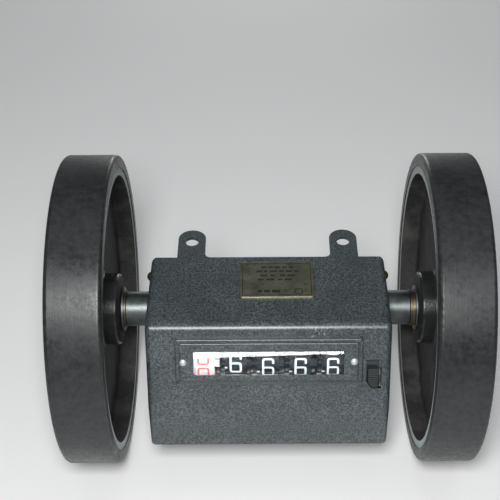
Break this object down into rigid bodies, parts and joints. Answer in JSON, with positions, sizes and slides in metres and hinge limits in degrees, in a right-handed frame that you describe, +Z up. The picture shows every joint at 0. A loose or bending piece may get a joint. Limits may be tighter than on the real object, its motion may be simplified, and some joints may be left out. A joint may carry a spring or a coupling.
{
  "type": "roller length counter",
  "caption": "Measuring wheel counter: grey housing with hanging lugs, a windowed figure counter and a reset lever, between rubber-tyred wheels on a through axle.",
  "frame": {"origin": "on the axle, midway between the wheels", "axes": "+X along the axle to the reset lever side, +Z up out of the top face with the lugs, -Y out of the window side"},
  "size_m": [0.137, 0.1062, 0.1062],
  "materials": {
    "housing_paint": "grey-green hammer-finish stove enamel on a die casting",
    "plate_paint": "grey-green hammer-finish stove enamel on sheet steel",
    "zinc_steel": "zinc-plated steel",
    "dark_steel": "black oxide steel",
    "bright_steel": "ground steel",
    "brass": "turned brass",
    "bronze": "sintered bronze",
    "rubber": "smooth ground rubber",
    "wheel_paint": "dark grey enamel on cast aluminium",
    "glass": "clear flat glass",
    "nameplate_brass": "etched brass with an olive ground",
    "white_plastic": "white moulded plastic",
    "black_plastic": "black moulded plastic",
    "grey_plastic": "natural acetal",
    "dark_plastic": "dark grey moulded plastic"
  },
  "bodies": {
    "housing": {"axle_bush_left": "bronze", "axle_bush_right": "bronze", "bearing_sleeve_left": "dark_steel", "bearing_sleeve_right": "dark_steel", "bezel_rivets": "zinc_steel", "cover_blocks": "zinc_steel", "frame_plate_left": "zinc_steel", "frame_plate_right": "zinc_steel", "frame_spacers": "zinc_steel", "housing_cover": "housing_paint", "idler_clip": "dark_steel", "idler_pin": "bright_steel", "idler_washer": "zinc_steel", "lever_clip": "dark_steel", "lever_pin": "bright_steel", "lever_spring": "bright_steel", "nameplate": "nameplate_brass", "number_shaft": "bright_steel", "pinion_shaft": "bright_steel", "pinion_spacers": "brass", "rear_cover": "plate_paint", "rear_cover_screws": "zinc_steel", "shaft_collar": "brass", "side_screws": "brass", "window_bezel": "housing_paint", "window_glass": "glass"},
    "axle_and_wheels": {"axle": "bright_steel", "wheel_washers": "zinc_steel", "wheel_nuts": "zinc_steel", "drive_gear": "brass", "drive_gear_screw": "dark_steel", "thrust_washer_right": "dark_steel", "thrust_washer_left": "dark_steel", "brass_shim": "bronze", "wheel_right": "wheel_paint", "wheel_left": "wheel_paint", "tyre_right": "rubber", "tyre_left": "rubber"},
    "idler": {"idler_gear": "brass"},
    "figure_wheel_1": {"number_wheel_1": "white_plastic", "count_gear": "brass"},
    "figure_wheel_2": {"number_wheel_2": "black_plastic"},
    "figure_wheel_3": {"number_wheel_3": "black_plastic"},
    "figure_wheel_4": {"number_wheel_4": "black_plastic"},
    "figure_wheel_5": {"number_wheel_5": "black_plastic"},
    "pinion_1": {"transfer_pinion_1": "grey_plastic"},
    "pinion_2": {"transfer_pinion_2": "grey_plastic"},
    "pinion_3": {"transfer_pinion_3": "grey_plastic"},
    "pinion_4": {"transfer_pinion_4": "grey_plastic"},
    "lever": {"reset_lever": "dark_plastic", "reset_bail": "zinc_steel"}
  },
  "joints": [
    {"name": "axle_spin", "type": "hinge", "parent": "housing", "child": "axle_and_wheels", "pos_m": [0, 0, 0], "axis": [1, 0, 0], "continuous": true},
    {"name": "idler_spin", "type": "hinge", "parent": "housing", "child": "idler", "pos_m": [0, -0.01019, -0.01336], "axis": [1, 0, 0], "continuous": true},
    {"name": "figure_1_spin", "type": "hinge", "parent": "housing", "child": "figure_wheel_1", "pos_m": [0, -0.01705, -0.00116], "axis": [1, 0, 0], "continuous": true},
    {"name": "figure_2_spin", "type": "hinge", "parent": "housing", "child": "figure_wheel_2", "pos_m": [0, -0.01705, -0.00116], "axis": [1, 0, 0], "continuous": true},
    {"name": "figure_3_spin", "type": "hinge", "parent": "housing", "child": "figure_wheel_3", "pos_m": [0, -0.01705, -0.00116], "axis": [1, 0, 0], "continuous": true},
    {"name": "figure_4_spin", "type": "hinge", "parent": "housing", "child": "figure_wheel_4", "pos_m": [0, -0.01705, -0.00116], "axis": [1, 0, 0], "continuous": true},
    {"name": "figure_5_spin", "type": "hinge", "parent": "housing", "child": "figure_wheel_5", "pos_m": [0, -0.01705, -0.00116], "axis": [1, 0, 0], "continuous": true},
    {"name": "pinion_1_spin", "type": "hinge", "parent": "housing", "child": "pinion_1", "pos_m": [0, -0.02461, -0.01425], "axis": [1, 0, 0], "continuous": true},
    {"name": "pinion_2_spin", "type": "hinge", "parent": "housing", "child": "pinion_2", "pos_m": [0, -0.02461, -0.01425], "axis": [1, 0, 0], "continuous": true},
    {"name": "pinion_3_spin", "type": "hinge", "parent": "housing", "child": "pinion_3", "pos_m": [0, -0.02461, -0.01425], "axis": [1, 0, 0], "continuous": true},
    {"name": "pinion_4_spin", "type": "hinge", "parent": "housing", "child": "pinion_4", "pos_m": [0, -0.02461, -0.01425], "axis": [1, 0, 0], "continuous": true},
    {"name": "reset_lever_press", "type": "hinge", "parent": "housing", "child": "lever", "pos_m": [0.0339, -0.0112, -0.00838], "axis": [-1, 0, 0], "range_deg": [0, 6.5], "stiffness_Nm_per_rad": 0.08, "deforming": ["lever_spring"]}
  ],
  "couplings": [
    {"joint": "idler_spin", "follows": "axle_spin", "ratio": -0.5},
    {"joint": "figure_1_spin", "follows": "axle_spin", "ratio": 0.33333},
    {"joint": "figure_2_spin", "follows": "axle_spin", "ratio": 0.033333},
    {"joint": "figure_3_spin", "follows": "axle_spin", "ratio": 0.0033333},
    {"joint": "figure_4_spin", "follows": "axle_spin", "ratio": 0.00033333},
    {"joint": "figure_5_spin", "follows": "axle_spin", "ratio": 0.000033333},
    {"joint": "pinion_1_spin", "follows": "axle_spin", "ratio": -0.083333},
    {"joint": "pinion_2_spin", "follows": "axle_spin", "ratio": -0.0083333},
    {"joint": "pinion_3_spin", "follows": "axle_spin", "ratio": -0.00083333},
    {"joint": "pinion_4_spin", "follows": "axle_spin", "ratio": -0.000083333}
  ]
}
